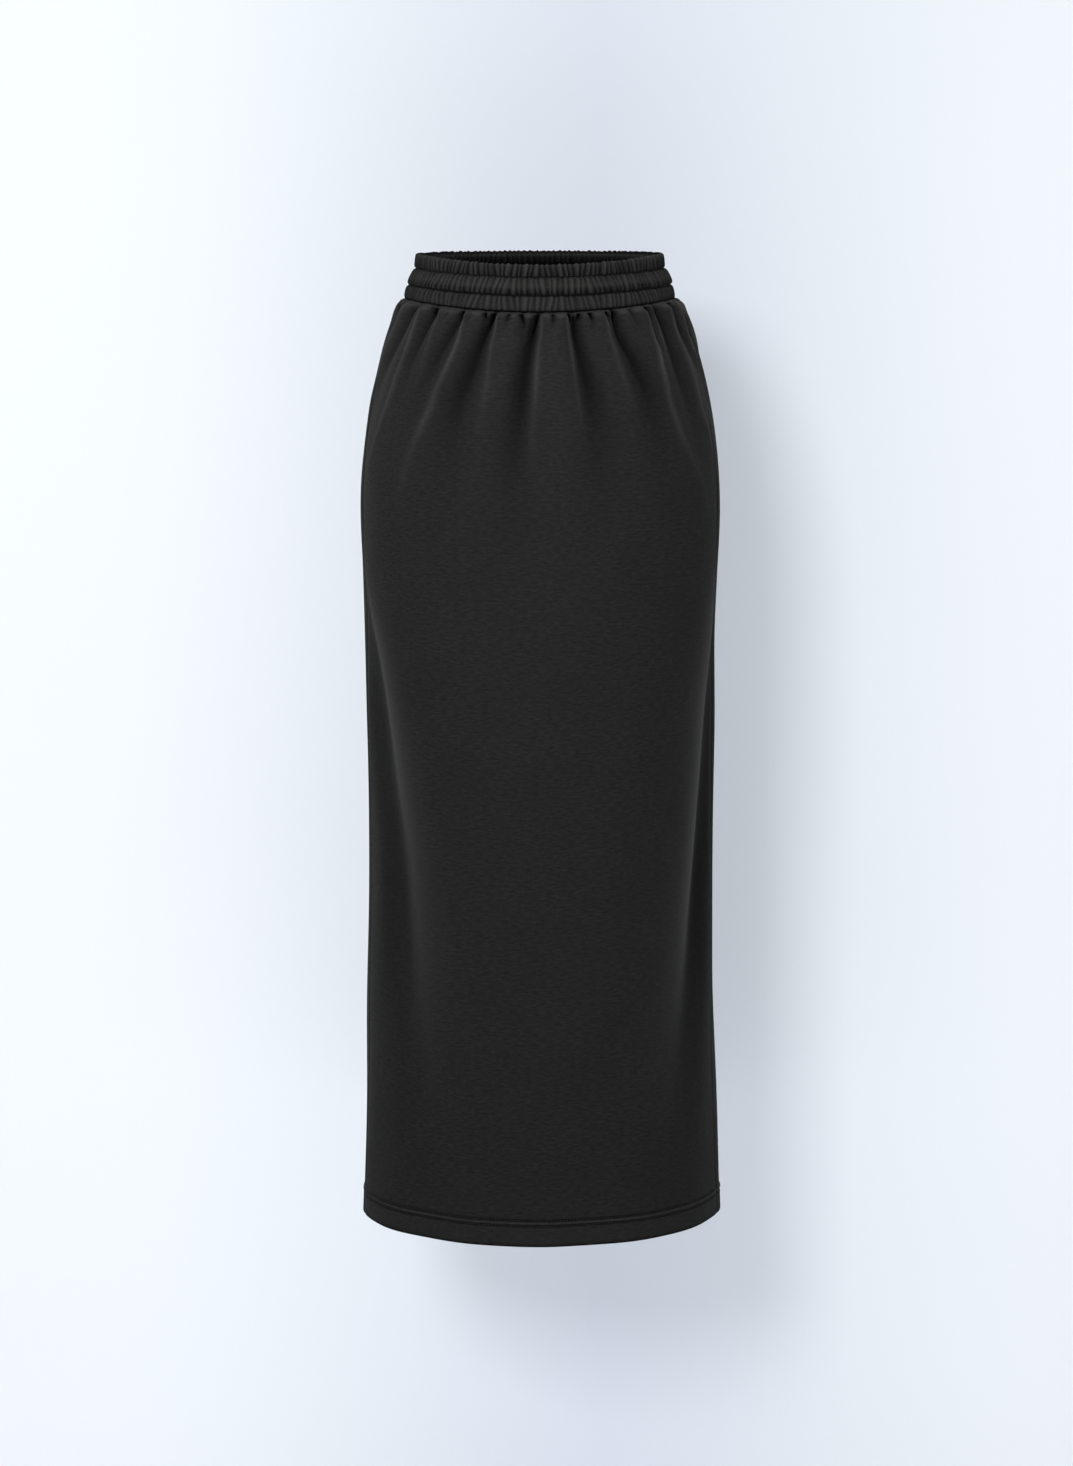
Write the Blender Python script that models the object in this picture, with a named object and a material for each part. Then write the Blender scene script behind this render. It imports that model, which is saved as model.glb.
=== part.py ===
"""A pull-on midi skirt in black sweatshirt knit, hollow and in its worn form.

Four sewn pieces, each a thin closed wall: the front and back panel, gathered into the
waist seam and turned up at the hem, and the front and back half of the waistband, which
stands in three puffed rows of fine gathers over elastic.

Metres, +Z up. The front faces -Y and the wearer's left is +X. The origin is on the
waist's axis, at the middle of the waistband's height. Angles run round the skirt from
the centre front, towards +X first. A drop is a distance down from the rim at the sides.
"""

from collections import namedtuple
from math import asin, cos, degrees, exp, hypot, pi, radians, sin

import bpy
from mathutils import Vector

# Driving sizes.
RIM_HEIGHT = 0.020  # of the rim at the sides, above the origin
SKIRT_DROP = 0.905  # rim to hem, at the sides
HEM_TURN = 0.025
SIDE_SEAM = radians(79)  # forward of the sides, so that a sliver of the back panel shows

PANEL_WALL = 0.0018
HEM_WALL = 0.0032  # the turned hem lies double
HEM_PROUD = 0.0006
BAND_WALL = 0.0038  # two layers of knit and the elastic between them
SEAM_GAP = 0.0003

# The waistband, by its lines from the rim to the waist seam. front_dip is how much lower
# the line runs at the centre front than at the sides. The valleys of the fine gathers
# are sunk by gather_depth below the line's own section.
BandLine = namedtuple("BandLine", "drop front_dip half_width front_depth back_depth gather_depth")
BAND_LINES = (
    BandLine(0.0000, 0.0072, 0.1122, 0.0862, 0.0902, 0.0008),  # rim
    BandLine(0.0066, 0.0077, 0.1149, 0.0886, 0.0926, 0.0014),  # row 1
    BandLine(0.0122, 0.0082, 0.1146, 0.0878, 0.0922, 0.0006),  # groove
    BandLine(0.0206, 0.0087, 0.1204, 0.0916, 0.0962, 0.0016),  # row 2
    BandLine(0.0290, 0.0093, 0.1190, 0.0896, 0.0944, 0.0006),  # groove
    BandLine(0.0348, 0.0101, 0.1238, 0.0921, 0.0972, 0.0014),  # row 3
    BandLine(0.0400, 0.0112, 0.1238, 0.0911, 0.0961, 0.0008),  # waist seam
)
BAND_GATHERS = {"front": 56, "back": 72}
BAND_LINING_SHARE = 4  # outer columns to each column of the plain inside

# The panels' sections, from the waist seam to the hem. columns is how many there are
# between two gathers of the waist seam.
Section = namedtuple("Section", "drop half_width front_depth back_depth columns")
SECTIONS = (
    Section(0.040, 0.1252, 0.0920, 0.0970, 4),  # waist seam
    Section(0.044, 0.1296, 0.0950, 0.1003, 4),
    Section(0.051, 0.1332, 0.0975, 0.1034, 4),
    Section(0.062, 0.1377, 0.1003, 0.1070, 4),
    Section(0.078, 0.1434, 0.1038, 0.1115, 4),
    Section(0.100, 0.1496, 0.1076, 0.1167, 4),
    Section(0.128, 0.1559, 0.1115, 0.1217, 4),
    Section(0.160, 0.1612, 0.1147, 0.1257, 4),
    Section(0.195, 0.1649, 0.1167, 0.1280, 4),
    Section(0.230, 0.1663, 0.1175, 0.1285, 2),  # hip
    Section(0.290, 0.1646, 0.1180, 0.1268, 2),
    Section(0.350, 0.1629, 0.1182, 0.1248, 2),
    Section(0.430, 0.1620, 0.1183, 0.1233, 2),
    Section(0.520, 0.1613, 0.1186, 0.1225, 2),
    Section(0.610, 0.1619, 0.1191, 0.1226, 2),
    Section(0.710, 0.1643, 0.1199, 0.1231, 2),
    Section(0.800, 0.1668, 0.1208, 0.1240, 2),
    Section(SKIRT_DROP - HEM_TURN - 0.0003, 0.1692, 0.1214, 0.1247, 2),
    Section(SKIRT_DROP - HEM_TURN + 0.0003, 0.1692, 0.1214, 0.1247, 2),
    Section(SKIRT_DROP, 0.1702, 0.1217, 0.1250, 2),  # hem
)
DIP_ENDS = 0.25  # drop at which the front's lines run level
GATHER_SETTLES = 0.16  # length over which a gather swings from its seam to its low angle
GATHER_OPENS = 0.009  # length over which a gather opens below the seam
GATHER_WIDTH = 0.0042  # at the seam

# The front's gathers, as the photo shows them. A valley starts at its seam angle, swings
# to its low angle, widens by spread for each metre down and dies out over its length.
Gather = namedtuple("Gather", "seam_degrees low_degrees depth length spread")
FRONT_GATHERS = (
    Gather(-69.5, -75.5, 0.0034, 0.050, 0.03),
    Gather(-57.4, -71.5, 0.0044, 0.110, 0.05),
    Gather(-46.0, -57.5, 0.0046, 0.130, 0.06),
    Gather(-33.0, -48.5, 0.0046, 0.120, 0.06),
    Gather(-28.0, -42.0, 0.0036, 0.035, 0.03),
    Gather(-23.4, -37.0, 0.0038, 0.045, 0.03),
    Gather(-18.8, -32.0, 0.0062, 0.200, 0.11),
    Gather(-12.8, -24.5, 0.0038, 0.045, 0.03),
    Gather(-7.5, -17.5, 0.0042, 0.065, 0.04),
    Gather(-0.8, -10.0, 0.0066, 0.250, 0.09),
    Gather(4.8, 0.0, 0.0038, 0.040, 0.03),
    Gather(10.8, 11.0, 0.0040, 0.050, 0.03),
    Gather(15.6, 20.0, 0.0064, 0.240, 0.09),
    Gather(20.8, 27.5, 0.0038, 0.045, 0.03),
    Gather(26.2, 34.5, 0.0038, 0.040, 0.03),
    Gather(31.0, 41.0, 0.0060, 0.180, 0.11),
    Gather(38.4, 48.0, 0.0038, 0.045, 0.03),
    Gather(47.0, 54.0, 0.0042, 0.060, 0.04),
    Gather(55.0, 62.5, 0.0054, 0.180, 0.07),
    Gather(66.4, 73.0, 0.0044, 0.100, 0.05),
)
# The front's drag lines: low crests that keep their angle at first and then swing out.
DRAG_LINES = (
    Gather(-55.4, -74.0, -0.0020, 0.170, 0.03),
    Gather(-31.4, -50.0, -0.0026, 0.210, 0.04),
    Gather(45.6, 61.5, -0.0026, 0.210, 0.04),
    Gather(64.2, 80.0, -0.0020, 0.190, 0.03),
)
BACK_GATHER_COUNT = 23
BACK_SWING = 0.12  # share by which the back's gathers swing away from the centre back

# Long soft folds that hang from the hips. Each has a crest, with a trough on the side
# away from the centre. side is -1 or 1 along X, centre the angle of the panel's centre,
# and across the fold's place as a share of the section's half width.
Fold = namedtuple("Fold", "side centre crest trough path")
FoldPoint = namedtuple("FoldPoint", "drop across strength")
LONG_FOLDS = (
    Fold(-1, 0, 0.0042, 0.0050, (
        FoldPoint(0.300, 1.000, 0.0), FoldPoint(0.360, 0.900, 1.0), FoldPoint(0.410, 0.835, 1.0),
        FoldPoint(0.510, 0.750, 1.0), FoldPoint(0.640, 0.656, 0.9), FoldPoint(0.840, 0.560, 0.0),
    )),
    Fold(1, 0, 0.0038, 0.0058, (
        FoldPoint(0.300, 0.985, 0.0), FoldPoint(0.360, 0.951, 1.0), FoldPoint(0.470, 0.908, 1.0),
        FoldPoint(0.580, 0.847, 1.0), FoldPoint(0.690, 0.774, 0.8), FoldPoint(0.840, 0.680, 0.0),
    )),
    Fold(-1, pi, 0.0044, 0.0054, (
        FoldPoint(0.250, 0.960, 0.0), FoldPoint(0.330, 0.890, 1.0), FoldPoint(0.460, 0.790, 1.0),
        FoldPoint(0.600, 0.700, 0.9), FoldPoint(0.840, 0.590, 0.0),
    )),
    Fold(1, pi, 0.0040, 0.0050, (
        FoldPoint(0.270, 0.970, 0.0), FoldPoint(0.350, 0.860, 1.0), FoldPoint(0.480, 0.740, 1.0),
        FoldPoint(0.620, 0.640, 0.8), FoldPoint(0.850, 0.540, 0.0),
    )),
)
CREST_REACH_IN = 0.030  # how far the crest fades towards the panel's centre
CREST_REACH_OUT = 0.010
TROUGH_PLACE = 0.018  # beyond the crest
TROUGH_REACH = 0.013


def back_gather(number):
    """One of the back's gathers, uneven in place, depth and length as the front's are."""
    seam = SIDE_SEAM + 2 * (pi - SIDE_SEAM) * (number + 0.22 * sin(2.4 * number)) / (BACK_GATHER_COUNT + 1)
    low = pi + (seam - pi) * (1 + BACK_SWING * cos((seam - pi) / 1.35))
    is_long = number % 4 == 2
    depth = (0.0060 if is_long else 0.0040) + 0.0005 * sin(1.7 * number)
    length = (0.210 if is_long else 0.065) + 0.025 * sin(2.9 * number)
    return Gather(degrees(seam), degrees(low), depth, length, 0.09 if is_long else 0.035)


BACK_GATHERS = tuple(back_gather(number) for number in range(1, BACK_GATHER_COUNT + 1))


def smooth(share):
    """0 to 1 with a soft start and end."""
    share = min(max(share, 0.0), 1.0)
    return share * share * (3 - 2 * share)


def read_table(rows, drop, column):
    """A column of a table whose rows run down the skirt, read between its rows."""
    for above, below in zip(rows, rows[1:]):
        if drop <= below.drop:
            share = max(0.0, (drop - above.drop) / (below.drop - above.drop))
            return getattr(above, column) + share * (getattr(below, column) - getattr(above, column))
    return getattr(rows[-1], column)


def depth_at(angle, section):
    return section.front_depth if cos(angle) > 0 else section.back_depth


def surface_point(angle, section, offset, front_dip):
    """A point of the section's ellipse, moved along its outward normal."""
    depth = depth_at(angle, section)
    across, along = sin(angle), -cos(angle)
    outward = Vector((depth * across, section.half_width * along, 0)).normalized()
    dip = front_dip * max(cos(angle), 0) ** 2
    point = Vector((section.half_width * across, depth * along, RIM_HEIGHT - section.drop - dip))
    return point + offset * outward


def fold_offset(angle, section):
    """How far the long folds lift or sink the cloth here."""
    lift = 0.0
    for fold in LONG_FOLDS:
        if fold.side * sin(angle) <= 0:
            continue
        from_centre = abs((angle - fold.centre + pi) % (2 * pi) - pi)
        crest_angle = asin(read_table(fold.path, section.drop, "across"))
        strength = smooth(read_table(fold.path, section.drop, "strength"))
        radius = hypot(section.half_width * cos(crest_angle), depth_at(angle, section) * sin(crest_angle))
        beyond = radius * (from_centre - crest_angle)
        reach = CREST_REACH_OUT if beyond > 0 else CREST_REACH_IN
        crest = fold.crest * exp(-((beyond / reach) ** 2))
        trough = fold.trough * exp(-(((beyond - TROUGH_PLACE) / TROUGH_REACH) ** 2))
        lift += strength * (crest - trough)
    return lift


def swung_angle(gather, below_seam):
    share = sin(min(1.0, below_seam / GATHER_SETTLES) * pi / 2) ** 1.15
    return radians(gather.seam_degrees + share * (gather.low_degrees - gather.seam_degrees))


def drag_angle(line, below_seam):
    share = min(1.0, below_seam / GATHER_SETTLES) ** 2
    return radians(line.seam_degrees + share * (line.low_degrees - line.seam_degrees))


def gather_offset(angle, section, below_seam):
    """How far the gathers and drag lines sink or lift the cloth here."""
    opening = 0.25 + 0.75 * smooth(below_seam / GATHER_OPENS)
    sharpness = 1.4 + 0.6 * smooth(below_seam / 0.06)
    radius = hypot(section.half_width * cos(angle), depth_at(angle, section) * sin(angle))
    lift = 0.0
    for gather in (*FRONT_GATHERS, *BACK_GATHERS, *DRAG_LINES):
        centre = drag_angle(gather, below_seam) if gather.depth < 0 else swung_angle(gather, below_seam)
        apart = radius * abs((angle - centre + pi) % (2 * pi) - pi)
        width = GATHER_WIDTH + gather.spread * below_seam
        fade = 1 - smooth(below_seam / gather.length)
        lift -= gather.depth * opening * fade * exp(-((apart / width) ** sharpness))
    return lift


def panel_rows(gathers, section, wall, proud):
    """The outer and the inner row of a panel at one section, from side seam to side seam."""
    below_seam = section.drop - SECTIONS[0].drop
    front_dip = BAND_LINES[-1].front_dip * (1 - smooth(below_seam / DIP_ENDS))
    outer, inner = [], []
    for left, right in zip(gathers, gathers[1:]):
        last = 1 if right is gathers[-1] else 0
        for step in range(section.columns + last):
            angle = swung_angle(left, below_seam)
            angle += step / section.columns * (swung_angle(right, below_seam) - angle)
            offset = gather_offset(angle, section, below_seam)
            offset += fold_offset(angle, section) + proud
            outer.append(surface_point(angle, section, offset, front_dip))
            inner.append(surface_point(angle, section, offset - wall, front_dip))
    return outer, inner


def strip(upper, lower):
    """Faces between two rows, where one may have a whole number of times the other's columns."""
    if len(upper) == len(lower):
        return [(upper[i], lower[i], lower[i + 1], upper[i + 1]) for i in range(len(upper) - 1)]
    if len(upper) < len(lower):
        return [face[::-1] for face in strip(lower, upper)]
    share = (len(upper) - 1) // (len(lower) - 1)
    faces = []
    for i in range(len(lower) - 1):
        fine = upper[i * share:(i + 1) * share + 1]
        for step in range(share):
            end = lower[i] if step < share / 2 else lower[i + 1]
            faces.append((fine[step], end, fine[step + 1]))
        faces.append((fine[(share + 1) // 2], lower[i], lower[i + 1]))
    return faces


def wall_object(name, outer_rows, inner_rows, material):
    """A closed wall from its outer rows and its inner rows, both from the top down."""
    points, numbered = [], []
    for row in (*outer_rows, *inner_rows):
        numbered.append(range(len(points), len(points) + len(row)))
        points.extend(row)
    outer, inner = numbered[:len(outer_rows)], numbered[len(outer_rows):]
    around = outer + inner[::-1]
    faces = []
    for upper, lower in zip(around, around[1:] + around[:1]):
        faces.extend(strip(upper, lower))
    faces.extend(strip([row[0] for row in outer], [row[0] for row in inner]))
    faces.extend(strip([row[-1] for row in inner], [row[-1] for row in outer]))
    mesh = bpy.data.meshes.new(name)
    mesh.from_pydata(points, [], faces)
    mesh.shade_smooth()
    mesh.set_sharp_from_angle(angle=radians(50))
    mesh.materials.append(material)
    obj = bpy.data.objects.new(name, mesh)
    bpy.data.collections["midi_skirt"].objects.link(obj)
    return obj


def panel(name, gathers, first_angle, last_angle, material):
    """A panel from one side seam to the other, with its turned hem."""
    first_edge, last_edge = (
        Gather(degrees(angle), degrees(angle), 0.0, 1.0, 0.0) for angle in (first_angle, last_angle)
    )
    gathers = [first_edge, *gathers, last_edge]
    outer_rows, inner_rows = [], []
    for section in SECTIONS:
        in_hem = section.drop > SKIRT_DROP - HEM_TURN
        if section is SECTIONS[0]:
            section = section._replace(drop=section.drop + SEAM_GAP / 2)
        wall = HEM_WALL if in_hem else PANEL_WALL
        outer, inner = panel_rows(gathers, section, wall, HEM_PROUD if in_hem else 0.0)
        outer_rows.append(outer)
        inner_rows.append(inner)
    return wall_object(name, outer_rows, inner_rows, material)


def band_half(name, gathers, first_angle, last_angle, material):
    """Half of the waistband: gathers raised on its outer face, a plain inside."""
    columns = 2 * gathers
    columns += -columns % BAND_LINING_SHARE
    outer_rows, inner_rows = [], []
    for line in BAND_LINES:
        if line is BAND_LINES[-1]:
            line = line._replace(drop=line.drop - SEAM_GAP / 2)
        outer, inner = [], []
        for column in range(columns + 1):
            angle = first_angle + (last_angle - first_angle) * column / columns
            sunk = line.gather_depth if column % 2 == 0 else 0.0
            outer.append(surface_point(angle, line, -sunk, line.front_dip))
            if column % BAND_LINING_SHARE == 0:
                inner.append(surface_point(angle, line, -BAND_WALL, line.front_dip))
        outer_rows.append(outer)
        inner_rows.append(inner)
    return wall_object(name, outer_rows, inner_rows, material)


def knit_material(name, colour, roughness):
    """Matt cotton knit."""
    material = bpy.data.materials.new(name)
    material.use_nodes = True
    shader = material.node_tree.nodes["Principled BSDF"]
    shader.inputs["Base Color"].default_value = (*colour, 1)
    shader.inputs["Roughness"].default_value = roughness
    shader.inputs["Metallic"].default_value = 0.0
    return material


def clear_scene():
    for obj in list(bpy.data.objects):
        bpy.data.objects.remove(obj, do_unlink=True)


def build_skirt():
    clear_scene()
    collection = bpy.data.collections.new("midi_skirt")
    bpy.context.scene.collection.children.link(collection)
    gap_angle = SEAM_GAP / 2 / BAND_LINES[0].front_depth  # the seams are narrowest at the rim
    front_start, front_end = -SIDE_SEAM + gap_angle, SIDE_SEAM - gap_angle
    back_start, back_end = SIDE_SEAM + gap_angle, 2 * pi - SIDE_SEAM - gap_angle

    panel("front_panel", FRONT_GATHERS, front_start, front_end,
          knit_material("black_knit_front", (0.026, 0.026, 0.027), 0.90))
    panel("back_panel", BACK_GATHERS, back_start, back_end,
          knit_material("black_knit_back", (0.024, 0.024, 0.025), 0.90))
    band_half("waistband_front", BAND_GATHERS["front"], front_start, front_end,
              knit_material("black_knit_band_front", (0.028, 0.028, 0.029), 0.88))
    band_half("waistband_back", BAND_GATHERS["back"], back_start, back_end,
              knit_material("black_knit_band_back", (0.022, 0.022, 0.023), 0.88))


build_skirt()
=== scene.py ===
from collections import namedtuple
from math import cos, degrees, pi, radians, sin

import bpy
import numpy as np
from mathutils import Matrix, Vector


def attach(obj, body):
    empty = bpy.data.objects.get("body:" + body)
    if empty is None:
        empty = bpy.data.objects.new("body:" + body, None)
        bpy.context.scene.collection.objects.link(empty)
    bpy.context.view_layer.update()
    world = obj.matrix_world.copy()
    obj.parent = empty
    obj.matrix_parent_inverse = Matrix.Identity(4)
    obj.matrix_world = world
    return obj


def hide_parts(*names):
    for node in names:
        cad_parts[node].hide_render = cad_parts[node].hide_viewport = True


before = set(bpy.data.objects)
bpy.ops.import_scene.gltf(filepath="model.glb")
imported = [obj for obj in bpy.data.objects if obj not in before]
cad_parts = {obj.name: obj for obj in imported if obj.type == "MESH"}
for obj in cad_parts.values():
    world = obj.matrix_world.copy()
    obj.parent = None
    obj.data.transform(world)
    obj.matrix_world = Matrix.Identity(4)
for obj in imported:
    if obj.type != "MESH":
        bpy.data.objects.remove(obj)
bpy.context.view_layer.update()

print("frame loaded:", sorted(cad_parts))

# Angles run round the skirt from the centre front, towards +X first. A drop is a distance
# down from the rim at the sides. All sizes are in metres.
skirtForm = {
    "rimHeight": 0.020,
    "drop": 0.905,
    "waistSeam": 0.040,  # drop of the waist seam
    "sideSeam": radians(79),
    "seamGap": 0.00005,
    "seamDip": 0.0090,  # how much lower the waist seam runs at the centre front
    "seamDipReach": 0.25,  # below the seam, where the front's lines run level again
    "hemDip": 0.0010,
    "hemDipDrops": (0.6, 0.9),
}
gather = namedtuple("gather", "depth width spread length notch path")
ridge = namedtuple("ridge", "height width spread length shade path")
longFold = namedtuple("longFold", "side centre crest trough reach shine shade path")
clothRow = namedtuple("clothRow", "points crest hollow across along")
clothPlace = namedtuple("clothPlace", "angles drops below radius halfWidth frontDepth backDepth")


class clothRelief:  # how far cloth stands off its plain section, and the masks of painted highlight on crests and painted shade in hollows
    def __init__(self, shape):
        self.lift, self.crest, self.hollow = np.zeros(shape), np.zeros(shape), np.zeros(shape)

    # painted highlight: raises the mask that lays a lighter colour on the cloth
    def shine(self, mask):
        self.crest = np.maximum(self.crest, mask)

    # painted shade: raises the mask that lays a near-black colour on the cloth
    def shade(self, mask):
        self.hollow = np.maximum(self.hollow, mask)


def smooth(share):
    share = np.clip(share, 0.0, 1.0)
    return share * share * (3 - 2 * share)


def ease(first, last, share):  # smoothly from one value to another
    return first + (last - first) * smooth(share)


def bell(distance, width, sharpness=2.0):
    return np.exp(-((np.abs(distance) / width) ** sharpness))


def ripples(angles, waves, step=1):  # each with its share, how many go round, and its phase
    return sum(share * np.sin(count * angles + phase * step) for share, count, phase in waves)


def column(table, number):
    return [row[number] for row in table]


def readTable(table, number, at):  # a smooth curve through a column, over the first column
    places, values = np.array(column(table, 0), float), np.array(column(table, number), float)
    at = np.clip(at, places[0], places[-1])
    slopes = np.gradient(values, places)
    left = np.clip(np.searchsorted(places, at) - 1, 0, len(places) - 2)
    span = places[left + 1] - places[left]
    share = (at - places[left]) / span
    rise = share * share * (3 - 2 * share)
    return (
        values[left] * (1 - rise) + values[left + 1] * rise
        + span * slopes[left] * share * (1 - share) ** 2
        - span * slopes[left + 1] * share * share * (1 - share)
    )


def evenAngles(first, last, section, count):  # even steps of cloth round a section, not of angle
    halfWidth, frontDepth, backDepth = section
    fine = np.linspace(first, last, 4000)
    depth = np.where(np.cos(fine) > 0, frontDepth, backDepth)
    steps = np.hypot(halfWidth * np.cos(fine), depth * np.sin(fine))
    length = np.concatenate([[0], np.cumsum((steps[1:] + steps[:-1]) / 2 * np.diff(fine))])
    across = np.linspace(0, length[-1], count)
    return np.interp(across, length, fine), across


def stepsDown(first, last, spacing):  # drops whose spacing follows a table of (drop, step)
    drops = [first]
    while drops[-1] < last:
        drops.append(drops[-1] + float(np.interp(drops[-1], column(spacing, 0), column(spacing, 1))))
    drops = np.array(drops)
    return first + (drops - first) * (last - first) / (drops[-1] - first)


def placeRows(angles, drops, halfWidth, depth, offset, dip):  # ellipses moved along their normals
    across, along = np.sin(angles), -np.cos(angles)
    normalX, normalY = depth * across, halfWidth * along
    length = np.hypot(normalX, normalY)
    points = np.empty(depth.shape + (3,))
    points[..., 0] = halfWidth * across + offset * normalX / length
    points[..., 1] = depth * along + offset * normalY / length
    points[..., 2] = skirtForm["rimHeight"] - drops - dip * np.maximum(np.cos(angles), 0) ** 2
    return points


def zipRows(upper, upperPlaces, lower, lowerPlaces):  # triangles between two uneven rows
    faces, i, j = [], 0, 0
    while i < len(upper) - 1 or j < len(lower) - 1:
        goUpper = j == len(lower) - 1 or (
            i < len(upper) - 1 and upperPlaces[i + 1] <= lowerPlaces[j + 1])
        if goUpper:
            faces.append((upper[i], lower[j], upper[i + 1]))
            i += 1
        else:
            faces.append((upper[i], lower[j], lower[j + 1]))
            j += 1
    return faces


def clothRows(points, relief, across, along):
    across = np.broadcast_to(across, points.shape[:2])
    return [clothRow(*row) for row in zip(points, relief.crest, relief.hollow, across, along)]


def addPiece(name, points, faces, material):
    mesh = bpy.data.meshes.new(name)
    mesh.from_pydata(points, [], faces)
    mesh.shade_smooth()
    mesh.materials.append(material)
    piece = bpy.data.objects.new(name, mesh)
    bpy.context.scene.collection.objects.link(piece)
    return piece


def makeWall(name, outside, inside, material):  # outside rows run down, inside rows run up again
    rows = outside + inside
    ends = np.cumsum([len(row.points) for row in rows])
    numbers = [np.arange(end - len(row.points), end) for row, end in zip(rows, ends)]
    faces = []
    for row, upper, nextRow, lower in zip(rows, numbers, rows[1:] + rows[:1], numbers[1:] + numbers[:1]):
        if len(upper) == len(lower):
            faces.extend(np.stack([upper[:-1], lower[:-1], lower[1:], upper[1:]], -1).tolist())
        else:
            faces.extend(zipRows(upper.tolist(), row.across, lower.tolist(), nextRow.across))
    turn = len(outside)
    for side, flip in ((0, False), (-1, True)):
        edge = [int(each[side]) for each in numbers]
        drops = [-row.points[side][2] for row in rows]
        cap = zipRows(edge[:turn], drops[:turn], edge[:turn - 1:-1], drops[:turn - 1:-1])
        faces.extend(face if flip else face[::-1] for face in cap)
    piece = addPiece(name, np.concatenate([row.points for row in rows]).tolist(), faces, material)
    mesh = piece.data
    # the painted highlight and painted shade masks go onto the mesh for the material
    for label in ("crest", "hollow"):
        mask = np.concatenate([getattr(row, label) for row in rows])
        mesh.attributes.new(label, "FLOAT", "POINT").data.foreach_set("value", mask)
    corners = np.empty(len(mesh.loops), int)
    mesh.loops.foreach_get("vertex_index", corners)
    spread = [np.stack([row.across, np.full(len(row.across), row.along)], -1) for row in rows]
    mesh.uv_layers.new(name="cloth").data.foreach_set("uv", np.concatenate(spread)[corners].ravel())
    return piece


# The panels: drop, half width, front depth, back depth.
panelSections = (
    (0.040, 0.1252, 0.0920, 0.0970),
    (0.044, 0.1296, 0.0950, 0.1003),
    (0.051, 0.1332, 0.0975, 0.1034),
    (0.062, 0.1377, 0.1003, 0.1070),
    (0.078, 0.1434, 0.1038, 0.1115),
    (0.100, 0.1496, 0.1076, 0.1167),
    (0.128, 0.1559, 0.1115, 0.1217),
    (0.160, 0.1612, 0.1147, 0.1257),
    (0.195, 0.1649, 0.1167, 0.1280),
    (0.230, 0.1663, 0.1175, 0.1285),
    (0.290, 0.1646, 0.1180, 0.1268),
    (0.350, 0.1629, 0.1182, 0.1248),
    (0.430, 0.1620, 0.1183, 0.1233),
    (0.520, 0.1613, 0.1186, 0.1225),
    (0.610, 0.1619, 0.1191, 0.1226),
    (0.710, 0.1643, 0.1199, 0.1231),
    (0.800, 0.1668, 0.1208, 0.1240),
    (0.880, 0.1692, 0.1214, 0.1247),
    (0.905, 0.1702, 0.1217, 0.1250),
)

panelSettings = {
    "columns": ((0.250, 490), (0.905, 245)),  # down to which drop, how many
    "evenAt": (0.1663, 0.1175, 0.1285),  # the section at the hips, where the columns are evenly spaced
    "wall": 0.0018,
    "rowSpacing": ((0.040, 0.0006), (0.056, 0.0010), (0.090, 0.0022), (0.200, 0.0042), (0.300, 0.0085),
                   (0.840, 0.0095), (0.868, 0.0016), (0.876, 0.0006), (0.905, 0.0009)),
    "insideSpacing": ((0.040, 0.0024), (0.080, 0.0060), (0.200, 0.0120), (0.300, 0.0200),
                      (0.850, 0.0200), (0.876, 0.0020), (0.905, 0.0050)),
    "sideGroove": (0.0013, 0.0016),  # depth and width of the hollow along a side seam
    # painted shade in the groove along a side seam
    "sideDark": 0.5,
    "swells": (  # height, waves round, waves down, phase, how far and how often it wanders, and its start
        (0.0007, 7, 0, 0.0, 3.1, 9, 0.12), (0.0005, 13, 14, 1.1, 0.0, 0, 0.20)),
    "swellReach": 0.20,
}

gatherSettings = {
    "seamShare": 0.30,  # how much of a gather's depth is left at the seam itself
    "opensOver": 0.008,
    "sharpness": (1.35, 1.75),  # of its sides, at the seam and further down
    "softensOver": 0.060,
    "sides": (1.05, 1.25),  # its width towards the middle of its panel and away from it
    # painted shade in each gather's trough, as a share of the near-black colour
    "dark": 0.78,
    "fullDepth": 0.0066,  # a shallower gather gets less painted shade
    "seamDark": (0.22, 0.045),  # how much more painted shade at the seam, and down to where
    "darkFade": (0.50, 0.22, 0.42),  # share of painted shade lost, where along the gather it starts, over how much of it
    "notchDepth": 0.0058,
    "notchWidth": (0.0024, 1.2, 0.4),  # with its share at the top and at the bottom
    "notchSides": (0.8, 1.3),
    "notchLength": 0.0130,
    "notchStretch": 0.14,  # more for each metre of the gather's length
    "notchStart": (0.0010, 0.0024),  # how far below the seam, and over what distance
    "notchSharpness": 1.8,
    # painted shade in each notch
    "notchDark": 1.45,
}
ridgeSettings = {
    "narrow": 0.56,
    "sharpness": 1.6,
    "startsOver": 0.006,
    "fadesFrom": 0.15,  # as a share of its length
    "fallStartsOver": 0.004,
    "fallAway": 2.1,  # the fall beside a ridge, in its widths
    "fallWidth": 1.1,
    # painted shade in the fall beside a ridge
    "fallDark": 0.75,
    # painted highlight along a ridge's crest
    "shine": 0.37,
    "fullHeight": 0.0020,  # a lower ridge gets less painted highlight
    "shineLost": (0.45, 0.40),  # the share that the lower part loses, and where that starts
    "flicker": (0.16, 95, 2.3),  # share, waves down, phase from ridge to ridge
}
seamEdgeSettings = {
    "tuck": 0.0030,  # how far the top edge is drawn in under the waistband
    "tuckDepth": 0.0018,
    "tuckWaves": ((0.35, 61, 1.3), (0.25, 97, 0.0)),  # share, waves round, phase
    "puff": 0.0017,  # the cloth's bulge just below the seam, between two gathers
    "puffDrop": 0.0080,
    "puffWidth": 0.010,
    "lipShine": 0.19,  # painted highlight along the puffed edge
    "lipDrop": 0.0031,
    "lipWidth": 0.0016,
    "lipWaves": (0.28, 53, 0.4),
}
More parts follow.
